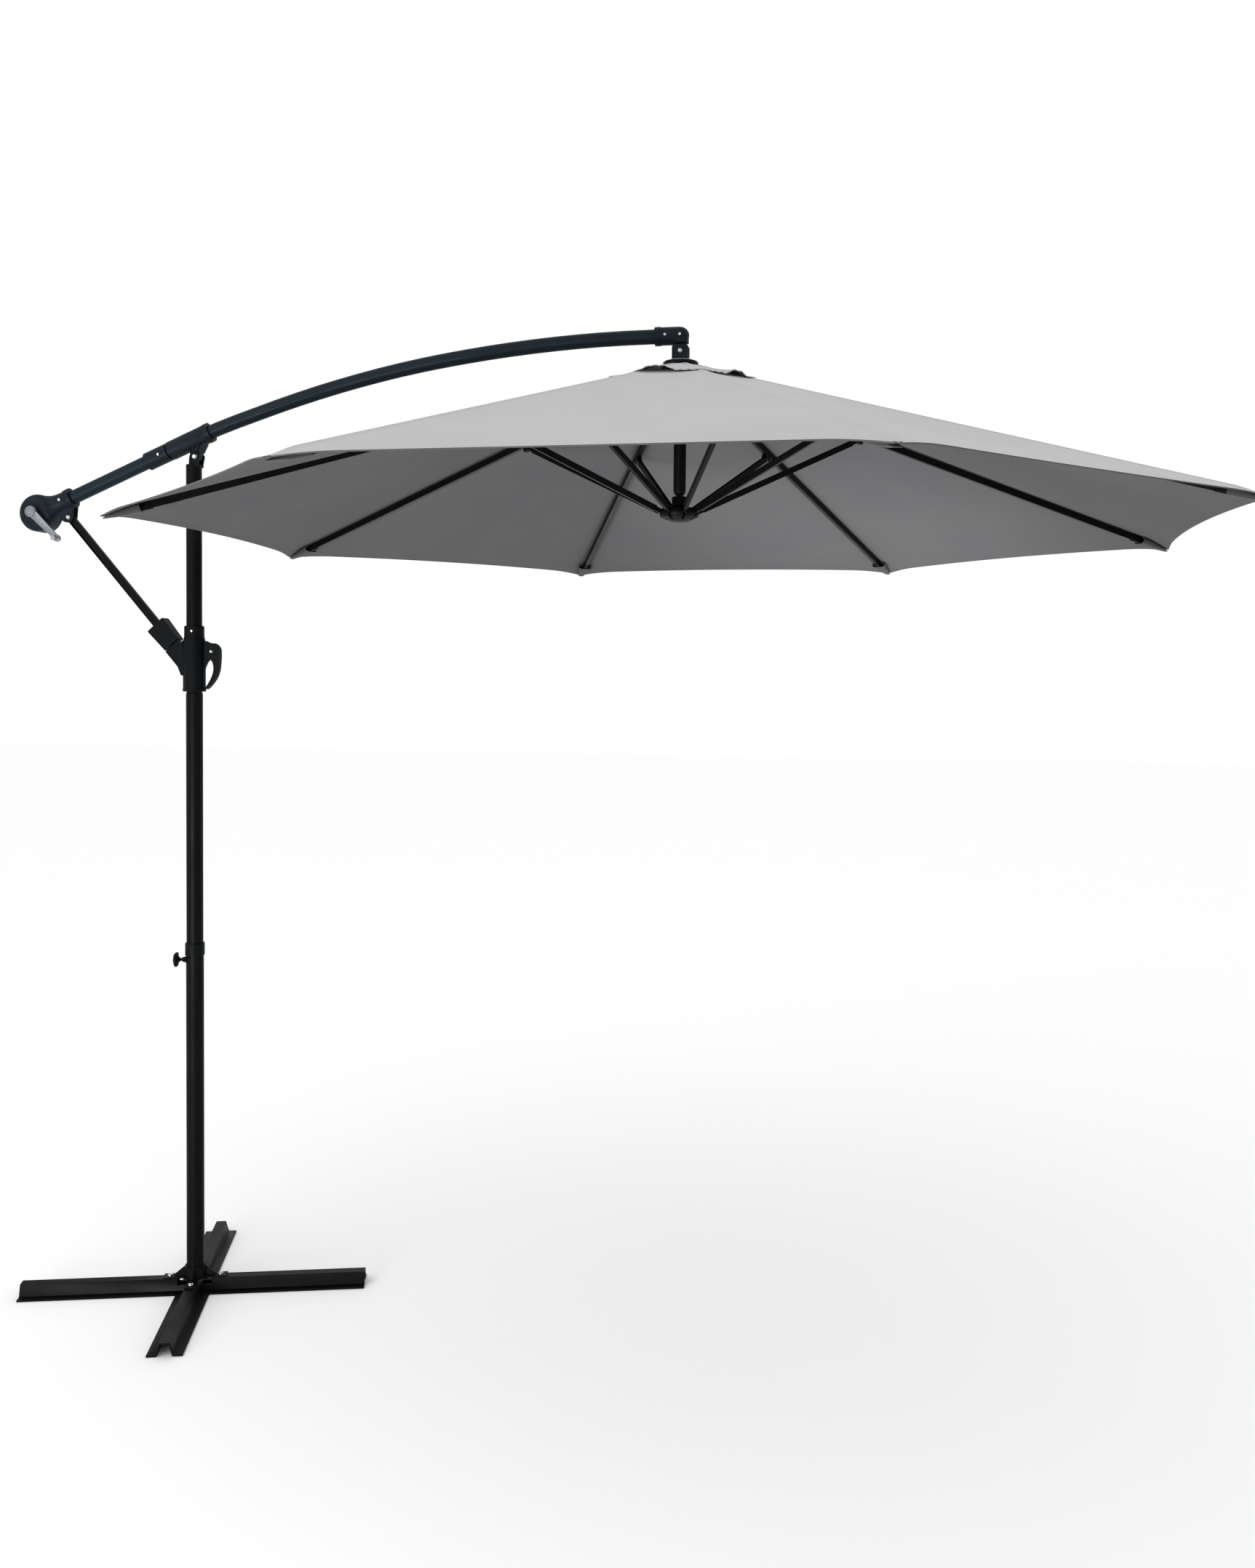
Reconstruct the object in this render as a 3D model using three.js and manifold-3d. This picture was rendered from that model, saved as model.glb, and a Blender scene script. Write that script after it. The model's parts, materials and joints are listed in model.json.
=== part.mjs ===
// Cantilever parasol: cross base, two-stage pole, sliding arm lock with tie rod, arched arm with a crank winder,
// and a hanging eight-rib canopy that folds down when its runner is let down.
// Millimetres, +Z up. The arm points along +X. The origin is on the ground under the centre of the whole object.
import * as THREE from "three";
import { mergeVertices } from "three/addons/utils/BufferGeometryUtils.js";
import Module from "manifold-3d";

const wasm = await Module();
wasm.setup();

// ---------------------------------------------------------------- driving dimensions
const SHIFT_X = -1091; // the pole's axis in the part's frame
const GAP = 0.3;
const RAD = Math.PI / 180;

// base
const BASE_YAW = 16.5 * RAD; // the cross base is turned against the arm
const BAR_HALF = 478, CROSS_HALF = 410, BAR_W = 93, BAR_TOP = 29, BAR_FOOT = 48, BAR_H = 36, BAR_T = 5;
const LAP_Z = 18;
const BOLT_R = 70;
// pole
const POLE_LOW = { ro: 24.5, ri: 23.4, z0: 41.5, z1: 980 };
const POLE_MID = { ro: 23.1, ri: 21.95, z0: 850, z1: 1702 };
const POLE_TOP = { ro: 21.6, ri: 20.1, z0: 1590, z1: 2336 };
const COLLAR = { z0: 960, z1: 996, r: 27 };
const KNOB_Z = 947;
// slider
const SL = { z0: 1707, z1: 1861, r: 31, bore: 22.0 };
const RING = { z0: 1861.4, z1: 1892, r: 27.5 };
const TRIG = [55.6, 1819.8]; // trigger pivot x, z
// arm
const PIVOT = [10, 2364]; // arm pivot on the pole head
const ARM_SLOPE = Math.atan(0.4163), ARM_Z0 = 2412.5; // straight rear part: height above x = 0
const TUBE_RO = 19.2, TUBE_RI = 17.6;
const ARM_PTS = [[95, 2449.5], [193, 2481.5], [289, 2511], [385, 2538], [480, 2561.6], [574, 2582.2], [667, 2599.6], [760, 2614], [851, 2626], [942, 2635.8], [1032, 2643.4], [1121, 2648.8], [1210, 2652], [1348, 2653.4]];
const CRANK = [-476, 2214.3];
const HOUSE = { r: 53, y0: -27, y1: 27, wall: 3.5 };
const ROD_PIN = [-380, 2201]; // tie rod pin on the housing lug
const ROD_S = [-52, 1828]; // tie rod's lower pivot in the slider's branch
// canopy
const CX = 1377; // canopy axis
const HANG_Z = 2612; // tilt pin under the elbow
const N = 8;
const RIB_P = [42, 2556], RIB_TIP = [1440, 2131.5];
const RIB_A = 479, RIB_OFF = 16; // strut pivot along the rib and below its axis
const RUN_P = [44, 2190]; // strut pivot on the runner
const RIM = { r: 1444, z: 2144 }, TOP = { r: 46, z: 2572 }, VENT_R = 150;
const FABRIC = 1.0;

// ---------------------------------------------------------------- helpers
function solid(geometry) {
  let g = geometry.index ? geometry.clone() : geometry.clone();
  for (const k of Object.keys(g.attributes)) if (k !== "position") g.deleteAttribute(k);
  g = mergeVertices(g, 1e-3);
  const p = g.attributes.position.array, i = g.index.array, t = [];
  let vol = 0;
  for (let k = 0; k < i.length; k += 3) {
    const [a, b, c] = [i[k], i[k + 1], i[k + 2]];
    if (a === b || b === c || a === c) continue;
    t.push(a, b, c);
    const A = new THREE.Vector3().fromArray(p, a * 3), B = new THREE.Vector3().fromArray(p, b * 3), C = new THREE.Vector3().fromArray(p, c * 3);
    vol += A.dot(B.cross(C));
  }
  if (vol < 0) for (let k = 0; k < t.length; k += 3) [t[k + 1], t[k + 2]] = [t[k + 2], t[k + 1]];
  return new wasm.Manifold(new wasm.Mesh({ numProp: 3, vertProperties: new Float32Array(p), triVerts: new Uint32Array(t) }));
}
const join = (...s) => s.reduce((a, b) => a.add(b));
const cut = (a, ...s) => s.reduce((m, b) => m.subtract(b), a);

// a turned solid about Z; the profile is [r, z] and closes on itself or on the axis
function lathe(profile, seg = 28, turn = 0) {
  const pts = profile.map(([r, z]) => new THREE.Vector2(r, z));
  if (profile[0][0] > 1e-6) pts.push(pts[0].clone());
  const g = new THREE.LatheGeometry(pts, seg, turn);
  g.rotateX(Math.PI / 2);
  return g;
}
const cylZ = (r, z0, z1, seg = 24, x = 0, y = 0) => solid(new THREE.CylinderGeometry(r, r, z1 - z0, seg).rotateX(Math.PI / 2).translate(x, y, (z0 + z1) / 2));
const tubeZ = (ro, ri, z0, z1, seg = 28) => solid(lathe([[ri, z0], [ro, z0], [ro, z1], [ri, z1]], seg));
const cylY = (r, y0, y1, x, z, seg = 24) => solid(new THREE.CylinderGeometry(r, r, y1 - y0, seg).translate(x, (y0 + y1) / 2, z));
const box = (x0, x1, y0, y1, z0, z1) => solid(new THREE.BoxGeometry(x1 - x0, y1 - y0, z1 - z0).translate((x0 + x1) / 2, (y0 + y1) / 2, (z0 + z1) / 2));
function shapeOf(points, holes = []) {
  const s = new THREE.Shape(points.map(([x, y]) => new THREE.Vector2(x, y)));
  for (const h of holes) s.holes.push(new THREE.Path(h.map(([x, y]) => new THREE.Vector2(x, y))));
  return s;
}
// an outline in x, z pulled along y
function plateY(points, y0, y1, holes) {
  const g = new THREE.ExtrudeGeometry(shapeOf(points, holes), { depth: y1 - y0, bevelEnabled: false });
  return solid(g.rotateX(Math.PI / 2).translate(0, y1, 0));
}
// an outline in y, z pulled along x
function plateX(points, x0, x1) {
  const g = new THREE.ExtrudeGeometry(shapeOf(points), { depth: x1 - x0, bevelEnabled: false });
  const m = new THREE.Matrix4().makeBasis(new THREE.Vector3(0, 1, 0), new THREE.Vector3(0, 0, 1), new THREE.Vector3(1, 0, 0));
  return solid(g.applyMatrix4(m).translate(x0, 0, 0));
}
const ring = (r, n, x = 0, y = 0, from = 0, to = 2 * Math.PI) => Array.from({ length: n }, (_, i) => { const a = from + ((to - from) * i) / (to - from >= 2 * Math.PI - 1e-9 ? n : n - 1); return [x + r * Math.cos(a), y + r * Math.sin(a)]; });
// a round bar or tube between two points of the x, z plane
function barXZ(p, q, ro, ri = 0, seg = 24, flat = null) {
  const len = Math.hypot(q[0] - p[0], q[1] - p[1]), ang = Math.atan2(q[1] - p[1], q[0] - p[0]);
  const outline = flat ? flat : ring(ro, seg);
  const s = shapeOf(outline, ri ? [ring(ri, seg)] : []);
  const g = new THREE.ExtrudeGeometry(s, { depth: len, bevelEnabled: false });
  const d = new THREE.Vector3(Math.cos(ang), 0, Math.sin(ang)), u = new THREE.Vector3(0, 1, 0), w = new THREE.Vector3().crossVectors(d, u);
  return solid(g.applyMatrix4(new THREE.Matrix4().makeBasis(u, w, d)).translate(p[0], 0, p[1]));
}
const rect = (w, h) => [[-w / 2, -h / 2], [w / 2, -h / 2], [w / 2, h / 2], [-w / 2, h / 2]];
const onArm = (x) => [x, ARM_Z0 + x * Math.tan(ARM_SLOPE)];

const LOOK = {
  base: [0x17191c, 0.42, 0.5], pole: [0x16181b, 0.38, 0.55], arm: [0x27333b, 0.36, 0.5], plastic: [0x17191c, 0.55, 0], dark: [0x101113, 0.5, 0.1],
  steel: [0xc9cbcd, 0.25, 1], silver: [0xb8bbbe, 0.35, 0.6], fabric: [0xb9b9b9, 0.9, 0], pale: [0xbdbfc0, 0.6, 0],
};
function node(parent, name, s, look) {
  const m = s.getMesh(), n = m.numProp, v = new Float32Array(m.numVert * 3);
  for (let i = 0; i < m.numVert; i++) v.set(m.vertProperties.subarray(i * n, i * n + 3), i * 3);
  const g = new THREE.BufferGeometry().setAttribute("position", new THREE.BufferAttribute(v, 3)).setIndex(new THREE.BufferAttribute(m.triVerts, 1));
  g.computeVertexNormals();
  const [c, r, k] = LOOK[look];
  const mesh = new THREE.Mesh(g, new THREE.MeshStandardMaterial({ color: c, roughness: r, metalness: k }));
  mesh.name = name;
  parent.add(mesh);
  return mesh;
}

const parasol = new THREE.Group();
const whole = new THREE.Group();
whole.position.x = SHIFT_X;
parasol.add(whole);

// ---------------------------------------------------------------- base
const base = new THREE.Group();
base.rotation.z = BASE_YAW;
whole.add(base);
const f = BAR_FOOT / 2, t = BAR_TOP / 2, W = BAR_W / 2;
const hat = [[-W, 0], [-f + 4.4, 0], [-t + 3.9, BAR_H - BAR_T], [t - 3.9, BAR_H - BAR_T], [f - 4.4, 0], [W, 0], [W, BAR_T], [f, BAR_T], [t, BAR_H], [-t, BAR_H], [-f, BAR_T], [-W, BAR_T]];
const boltHole = (x, y) => cylZ(3.6, 20, 60, 10, x, y);
// half-lap crossing: the long bar keeps its lower half there, the cross bar its upper half
const halfA = box(-W - 1, W + 1, -W - 1, W + 1, LAP_Z - 0.2, 60), halfB = box(-W - 1, W + 1, -W - 1, W + 1, -1, LAP_Z + 0.2);
const longBar = cut(plateX(hat, -BAR_HALF, BAR_HALF), halfA, boltHole(BOLT_R, 0), boltHole(-BOLT_R, 0));
const crossGeo = new THREE.ExtrudeGeometry(shapeOf(hat), { depth: 2 * CROSS_HALF, bevelEnabled: false })
  .applyMatrix4(new THREE.Matrix4().makeBasis(new THREE.Vector3(-1, 0, 0), new THREE.Vector3(0, 0, 1), new THREE.Vector3(0, 1, 0))).translate(0, -CROSS_HALF, 0);
const crossBar = cut(solid(crossGeo), halfB, boltHole(0, BOLT_R), boltHole(0, -BOLT_R));
node(base, "base_bar_long", longBar, "base");
node(base, "base_bar_cross", crossBar, "base");
// pole foot: a cross plate with a collar and four sloping webs
const zF = BAR_H + GAP;
let foot = join(box(-88, 88, -15, 15, zF, zF + 4), box(-15, 15, -88, 88, zF, zF + 4), cylZ(34, zF, zF + 5, 28));
foot = join(foot, tubeZ(29, POLE_LOW.ro + 0.35, zF + 1, zF + 34, 28));
const web = [[27, zF + 3], [60, zF + 3], [60, zF + 6], [28, zF + 32], [27, zF + 32]];
const webs = [plateY(web, -2.5, 2.5), plateY(web.map(([x, z]) => [-x, z]), -2.5, 2.5)];
foot = join(foot, ...webs);
const webGeo = (s) => { const g = new THREE.ExtrudeGeometry(shapeOf(web.map(([x, z]) => [s * x, z])), { depth: 5, bevelEnabled: false }); return solid(g.applyMatrix4(new THREE.Matrix4().makeBasis(new THREE.Vector3(0, 1, 0), new THREE.Vector3(0, 0, 1), new THREE.Vector3(1, 0, 0))).translate(-2.5, 0, 0)); };
foot = join(foot, webGeo(1), webGeo(-1));
foot = cut(foot, cylZ(POLE_LOW.ro + 0.35, zF + 4.6, zF + 60, 28), cylZ(12, zF - 1, zF + 10, 24), boltHole(BOLT_R, 0), boltHole(-BOLT_R, 0), boltHole(0, BOLT_R), boltHole(0, -BOLT_R));
node(base, "pole_foot", foot, "base");
const bolt = () => solid(lathe([[0, 24], [6.2, 24], [6.2, BAR_H - BAR_T - GAP], [3.2, BAR_H - BAR_T - GAP], [3.2, zF + 4.3], [7.6, zF + 4.3], [7.2, zF + 6.6], [5, zF + 8.6], [2.2, zF + 9.6], [0, zF + 9.8]], 12));
[[BOLT_R, 0], [0, BOLT_R], [-BOLT_R, 0], [0, -BOLT_R]].forEach(([x, y], i) => node(base, "foot_bolt_" + (i + 1), bolt(), "steel").position.set(x, y, 0));
// lower pole with the clamp knob's threaded bush
let lower = tubeZ(POLE_LOW.ro, POLE_LOW.ri, POLE_LOW.z0, POLE_LOW.z1, 28);
const stemHole = solid(new THREE.CylinderGeometry(4.4, 4.4, 40, 16).rotateZ(Math.PI / 2).translate(-30, 0, KNOB_Z));
lower = cut(lower, stemHole);
node(base, "lower_pole", lower, "pole");
const collar = cut(solid(lathe([[POLE_LOW.ro + 0.3, COLLAR.z0], [COLLAR.r - 0.8, COLLAR.z0], [COLLAR.r, COLLAR.z0 + 1.2], [COLLAR.r, COLLAR.z1 - 2.5], [COLLAR.r - 2, COLLAR.z1], [POLE_MID.ro + 0.35, COLLAR.z1], [POLE_MID.ro + 0.35, POLE_LOW.z1 + 0.4], [POLE_LOW.ro + 0.3, POLE_LOW.z1 + 0.4]], 28)));
node(base, "pole_collar", collar, "plastic");
const bush = cut(solid(new THREE.CylinderGeometry(6.5, 9.5, 11, 20).rotateZ(Math.PI / 2).translate(-POLE_LOW.ro - 4.6, 0, KNOB_Z)), cylZ(POLE_LOW.ro + 0.3, KNOB_Z - 20, KNOB_Z + 20, 28), stemHole);
node(base, "knob_bush", bush, "plastic");
// clamp knob: a screw stem with a winged head
const kx = (x0, x1, r0, r1, seg = 16) => solid(new THREE.CylinderGeometry(r0, r1, x1 - x0, seg).rotateZ(Math.PI / 2).translate(-(x0 + x1) / 2, 0, KNOB_Z));
const knob = join(kx(23.6, 46, 3.9, 3.9), kx(43.5, 47.5, 19, 9, 18), kx(47.3, 56, 22, 21.5, 18), kx(55.8, 59, 15, 21, 18));
node(base, "clamp_knob", knob, "plastic");

// ---------------------------------------------------------------- mast: turns in the lower pole
node(whole, "middle_pole", tubeZ(POLE_MID.ro, POLE_MID.ri, POLE_MID.z0, POLE_MID.z1, 28), "pole");
node(whole, "top_pole", tubeZ(POLE_TOP.ro, POLE_TOP.ri, POLE_TOP.z0, POLE_TOP.z1, 28), "pole");
// pole head: a plug with two ears
const earOutline = [[PIVOT[0] - 17, 2336.4], [PIVOT[0] - 16.5, 2356], ...ring(15, 11, PIVOT[0], PIVOT[1], Math.PI * 0.95, Math.PI * 0.05).map((p) => p), [PIVOT[0] + 10.5, 2346], [PIVOT[0] + 10.5, 2336.4]];
let head = join(cylZ(21.6, POLE_TOP.z1 + GAP, 2343, 28), cylZ(POLE_TOP.ri - 0.3, POLE_TOP.z1 - 40, POLE_TOP.z1 + 2, 28), plateY(earOutline, -17, -11.5), plateY(earOutline, 11.5, 17));
head = cut(head, cylY(5.3, -30, 30, PIVOT[0], PIVOT[1], 20), cylZ(12, 2290, 2350, 20));
node(whole, "pole_head", head, "plastic");
const boltY = (r, rh, half, x, z, seg = 16) => join(cylY(r, -half, half, x, z, seg), solid(new THREE.CylinderGeometry(rh, rh * 0.7, 4, seg).translate(x, -half - 2 + 0.01, z).scale(1, 1, 1)), solid(new THREE.CylinderGeometry(rh * 0.7, rh, 4, seg).translate(x, half + 2 - 0.01, z)));
const boltYf = (r, rh, half, x, z, seg = 16) => join(cylY(r, -half - 1, half + 1, x, z, seg), solid(new THREE.CylinderGeometry(rh, rh * 0.6, 4, seg).translate(x, -half - 2, z)), solid(new THREE.CylinderGeometry(rh * 0.6, rh, 4, seg).translate(x, half + 2, z)));
node(whole, "pivot_bolt", boltYf(5, 8, 17.3, PIVOT[0], PIVOT[1], 20), "steel");

// ---------------------------------------------------------------- slider on the top pole
const rd = [ROD_S[0] - ROD_PIN[0], ROD_S[1] - ROD_PIN[1]], rl = Math.hypot(...rd), ru = [rd[0] / rl, rd[1] / rl];
const onRod = (s) => [ROD_PIN[0] + ru[0] * s, ROD_PIN[1] + ru[1] * s];
let slider = solid(lathe([[SL.bore, SL.z0], [SL.r - 1, SL.z0], [SL.r + 1, SL.z0 + 2], [SL.r + 1, SL.z0 + 9], [SL.r, SL.z0 + 10], [SL.r, SL.z1 - 16], [SL.r - 3, SL.z1], [SL.bore, SL.z1]], 28));
const SOCK0 = 407, SOCK1 = 483, BR0 = 487;
const branch = barXZ(onRod(BR0), onRod(BR0 + 62), 0, 0, 4, rect(42, 50));
const fillet = plateY([[-30, 1752], [-20, 1752], [-20, 1800], [-62, 1826], [-60, 1806], [-40, 1776]], -21, 21);
const slot = barXZ(onRod(BR0 - 5), onRod(rl + 26), 0, 0, 4, rect(18, 80));
const lugShape = [[28, 1760], [30.5, 1760], [34, 1776], [41, 1790], [50, 1800], ...ring(9, 9, TRIG[0], TRIG[1], -Math.PI * 0.35, Math.PI * 0.45), [47, 1845], [37, 1849.5], [28, 1849.5]];
slider = join(slider, branch, fillet);
slider = cut(slider, cut(slot, cylZ(26.5, 1700, 1900, 28)), cylZ(SL.bore, SL.z0 - 5, SL.z1 + 5, 28));
slider = join(slider, cut(plateY(lugShape, -4.5, 4.5), cylZ(26, 1700, 1900, 24)));
slider = cut(slider, cylY(3.5, -9, 9, TRIG[0], TRIG[1], 16), box(-100, 20, -60, 60, 1861.1, 1990));
node(whole, "slider", slider, "plastic");
node(whole, "slider_ring", cut(solid(lathe([[SL.bore, RING.z0], [RING.r, RING.z0], [RING.r, RING.z1 - 3], [RING.r - 2, RING.z1], [SL.bore, RING.z1]], 28)), cylY(2.5, -60, -20, 5, 1877, 12)), "plastic");
// trigger: a curved finger lever on the far side from the rod
const tr = new THREE.Shape();
tr.absarc(TRIG[0], TRIG[1], 24, Math.PI * 1.41, Math.PI * 0.06, true);
tr.bezierCurveTo(80, 1806, 79, 1784, 75.5, 1765);
tr.bezierCurveTo(70.5, 1746, 58, 1728, 40, 1713.5);
tr.lineTo(35.5, 1717);
tr.bezierCurveTo(48, 1733, 58.5, 1749, 61, 1768);
tr.bezierCurveTo(62, 1782, 58.5, 1792, 53, 1796);
tr.closePath();
let trigger = solid(new THREE.ExtrudeGeometry(tr, { depth: 18, bevelEnabled: false, curveSegments: 7 }).rotateX(Math.PI / 2).translate(0, 9, 0));
trigger = cut(trigger, box(28, 70, -5.0, 5.0, 1790, 1850), cylY(3.5, -12, 12, TRIG[0], TRIG[1], 16));
node(whole, "trigger", trigger, "plastic");
node(whole, "trigger_pin", boltYf(3.1, 5.5, 9.3, TRIG[0], TRIG[1], 16), "steel");

// ---------------------------------------------------------------- tie rod and its socket
let rod = join(barXZ(onRod(6), onRod(470), 0, 0, 4, rect(12, 22)), cylY(11, -6, 6, ROD_PIN[0], ROD_PIN[1], 24));
rod = cut(rod, barXZ(onRod(30), onRod(480), 0, 0, 4, rect(9, 19)), cylY(4.4, -20, 20, ROD_PIN[0], ROD_PIN[1], 16));
node(whole, "tie_rod", rod, "pole");
const sw = [];
const w0 = 29, w1 = 25.5, h0 = 18;
const sockAng = Math.atan2(ru[1], ru[0]);
const toRod = new THREE.Matrix4().makeBasis(new THREE.Vector3(ru[0], 0, ru[1]), new THREE.Vector3(0, 1, 0), new THREE.Vector3(-ru[1], 0, ru[0])).setPosition(ROD_PIN[0], 0, ROD_PIN[1]);
const rodPlate = (pts, y0, y1) => solid(new THREE.ExtrudeGeometry(shapeOf(pts), { depth: y1 - y0, bevelEnabled: false }).rotateX(Math.PI / 2).translate(0, y1, 0).applyMatrix4(toRod));
let socket = rodPlate([[SOCK0, -w0], [SOCK0 + 3, -w0 - 1], [SOCK1, -w1], [SOCK1, w1], [SOCK0 + 3, w0 + 1], [SOCK0, w0]], -h0, h0);
socket = join(socket, rodPlate([[SOCK1 - 5, -14], [rl, -14], ...ring(13.5, 9, rl, 0, -Math.PI * 0.45, Math.PI * 0.45), [rl, 14], [SOCK1 - 5, 14]], -8, 8));
socket = cut(socket, barXZ(onRod(SOCK0 - 5), onRod(472), 0, 0, 4, rect(12.7, 22.7)));
node(whole, "rod_socket", socket, "plastic");
node(whole, "rod_pin", boltYf(4, 7, 12.9, ROD_PIN[0], ROD_PIN[1], 16), "steel");

// ---------------------------------------------------------------- arm
const rear0 = onArm(-396), rear1 = onArm(-101), front0 = onArm(-99);
node(whole, "rear_arm_tube", barXZ(rear0, rear1, TUBE_RO, TUBE_RI, 24), "arm");
const path = new THREE.CatmullRomCurve3([onArm(-99), onArm(-50), onArm(-2), onArm(46), ...ARM_PTS].map(([x, z]) => new THREE.Vector3(x, 0, z)), false, "centripetal");
const tubeSection = shapeOf(ring(TUBE_RO, 18), [ring(TUBE_RI, 18)]);
node(whole, "arm_tube", solid(new THREE.ExtrudeGeometry(tubeSection, { steps: 24, extrudePath: path, bevelEnabled: false })), "arm");
let coupler = cut(barXZ(onArm(-139), onArm(-75.5), 25.3, TUBE_RO + 0.7, 28), cylY(5, -30, -20.5, ...onArm(-98), 16));
node(whole, "arm_coupler", coupler, "arm");
// arm bracket: a sleeve with a ribbed fan down to the pivot eye
let bracket = barXZ(onArm(-69), onArm(48), 26.5, 0, 28);
bracket = join(bracket, barXZ(onArm(38), onArm(52), 27.5, 0, 28));
const fan = [[-22, 2394], [-10, 2381], [PIVOT[0] - 12, 2366], ...ring(12, 9, PIVOT[0], PIVOT[1], Math.PI, 2 * Math.PI), [PIVOT[0] + 13, 2372], [32, 2396], [40, 2416], [0, 2416], [-30, 2404]];
bracket = join(bracket, plateY(fan, -10.8, 10.8));
for (const [x0, x1] of [[-13, -4], [2, 5], [20, 14], [36, 23]])
  bracket = join(bracket, plateY([[x0 - 2, 2402], [x1 - 1.6, 2376], [x1 + 1.6, 2376], [x0 + 2, 2402]], -14.5, 14.5));
bracket = cut(bracket, barXZ(onArm(-80), onArm(70), TUBE_RO + 0.7, 0, 28), cylY(5.4, -30, 30, PIVOT[0], PIVOT[1], 20));
// room for the pole head's ears when the arm is lowered
const earRoom = (y0, y1) => cylY(17.5, y0, y1, PIVOT[0], PIVOT[1], 24);
bracket = cut(bracket, earRoom(-18, -11.1), earRoom(11.1, 18));
node(whole, "arm_bracket", bracket, "arm");

// ---------------------------------------------------------------- crank winder
const hx = CRANK[0], hz = CRANK[1];
let house = join(cylY(HOUSE.r, HOUSE.y0, HOUSE.y1, hx, hz, 28), barXZ([hx, hz], onArm(-373), 26.5, 0, 28), barXZ(onArm(-385), onArm(-370.5), 28, 0, 28));
const armN = [Math.sin(ARM_SLOPE), -Math.cos(ARM_SLOPE)];
const lugL = [[-414, 2236], [-396, 2188], ...ring(13, 9, ROD_PIN[0], ROD_PIN[1], -Math.PI * 0.85, Math.PI * 0.15), [-366, 2240], [-380, 2255]];
house = join(house, plateY(lugL, -12.6, -6.8), plateY(lugL, 6.8, 12.6));
house = cut(house, cylY(HOUSE.r - HOUSE.wall, HOUSE.y0 + HOUSE.wall, HOUSE.y1 + 1, hx, hz, 28), barXZ(onArm(-440), onArm(-340), TUBE_RO + 0.4, 0, 28), cylY(7.4, -40, 0, hx, hz, 20), cylY(4.3, -20, 20, ROD_PIN[0], ROD_PIN[1], 16));
// the rod's eye turns between the cheeks
house = cut(house, box(-400, -350, -6.8, 6.8, 2180, 2219));
node(whole, "winder_housing", house, "arm");
node(whole, "winder_cover", join(cylY(HOUSE.r, HOUSE.y1 + 0.3, HOUSE.y1 + 4, hx, hz, 28), solid(new THREE.CylinderGeometry(HOUSE.r - 8, HOUSE.r, 3, 40).translate(hx, HOUSE.y1 + 5.4, hz)), cylY(5.6, 10, HOUSE.y1 + 2, hx, hz, 16)), "arm");
// drum and crank: flanged spool on a shaft, cranked from the near side
const drum = solid(lathe([[0, -34], [6.8, -34], [6.8, -22.6], [30, -22.6], [30, -20.4], [19, -20.4], [19, 5], [30, 5], [30, 7.2], [6.3, 7.2], [6.3, 9], [0, 9]], 24));
const drumMesh = node(whole, "winding_drum", drum, "dark");
drumMesh.rotation.x = -Math.PI / 2; // the spool's axis lies along y
drumMesh.position.set(hx, 0, hz);
const CA = -43 * RAD, CL = 112;
const cEnd = [hx + CL * Math.cos(CA), hz + CL * Math.sin(CA)];
const px = -Math.sin(CA), pz = Math.cos(CA);
const armPl = (w0_, w1_) => [[hx + px * w0_, hz + pz * w0_], [hx - px * w0_, hz - pz * w0_], [cEnd[0] - px * w1_, cEnd[1] - pz * w1_], [cEnd[0] + px * w1_, cEnd[1] + pz * w1_]];
let crank = join(cylY(16, -50, -36.5, hx, hz, 28), plateY(armPl(12.5, 8.5), -48, -40), cylY(9.8, -49, -39, ...cEnd, 20));
crank = cut(crank, cylY(7.2, -38.2, -30, hx, hz, 20), cylY(3.6, -60, -30, ...cEnd, 12));
node(whole, "crank_handle", crank, "silver");
const grip = join(solid(new THREE.CylinderGeometry(7.5, 9, 26, 20).translate(cEnd[0], -62.3, cEnd[1])), cylY(3.2, -52, -37, ...cEnd, 12));
node(whole, "crank_grip", grip, "silver");

// ---------------------------------------------------------------- elbow, pulley and hanger at the arm's end
const EZ = 2653.4;
const along = (x0, x1, r, seg = 20) => solid(new THREE.CylinderGeometry(r, r, x1 - x0, seg).rotateZ(Math.PI / 2).translate((x0 + x1) / 2, 0, EZ));
const ZB = HANG_Z + 21.4;
let elbow = join(along(1310, CX, 23.6), along(1309, 1324, 24.8), cylZ(21.2, ZB, EZ, 20, CX), solid(new THREE.SphereGeometry(23.4, 16, 10).translate(CX - 1, 0, EZ)));
elbow = cut(elbow, along(1300, 1352, TUBE_RO + 0.5), along(1340, CX, 15.5, 20), cylZ(9, HANG_Z - 20, EZ, 16, CX));
const tongue = plateY([[CX - 14, HANG_Z], ...ring(14, 9, CX, HANG_Z, Math.PI, 2 * Math.PI), [CX + 14, HANG_Z], [CX + 16, ZB + 3], [CX - 16, ZB + 3]], -7.5, 7.5);
elbow = cut(join(elbow, cut(tongue, cylZ(3, HANG_Z - 30, ZB + 4, 8, CX + 9))), cylY(5.0, -30, 30, CX, HANG_Z, 20), cylY(16, -6, 6, CX, EZ, 24), cylY(3.2, -40, 0, CX, EZ, 12));
node(whole, "elbow", elbow, "arm");
const pulley = solid(lathe([[0, -4.6], [13.5, -4.6], [13.5, -3.4], [10, -1.5], [10, 1.5], [13.5, 3.4], [13.5, 4.6], [0, 4.6]], 24));
const pm = node(whole, "rope_pulley", pulley, "dark");
pm.rotation.x = Math.PI / 2;
pm.position.set(CX, 0, EZ);
const hz0 = 2587;
let hanger = plateY([[CX - 21.5, hz0], [CX + 21.5, hz0], [CX + 21.5, HANG_Z + 12], [CX + 12, HANG_Z + 17], [CX - 12, HANG_Z + 17], [CX - 21.5, HANG_Z + 12]], -16, 16);
hanger = cut(hanger, box(CX - 40, CX + 40, -8.2, 8.2, HANG_Z - 16, HANG_Z + 40), cylY(5.0, -30, 30, CX, HANG_Z, 20));
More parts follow.
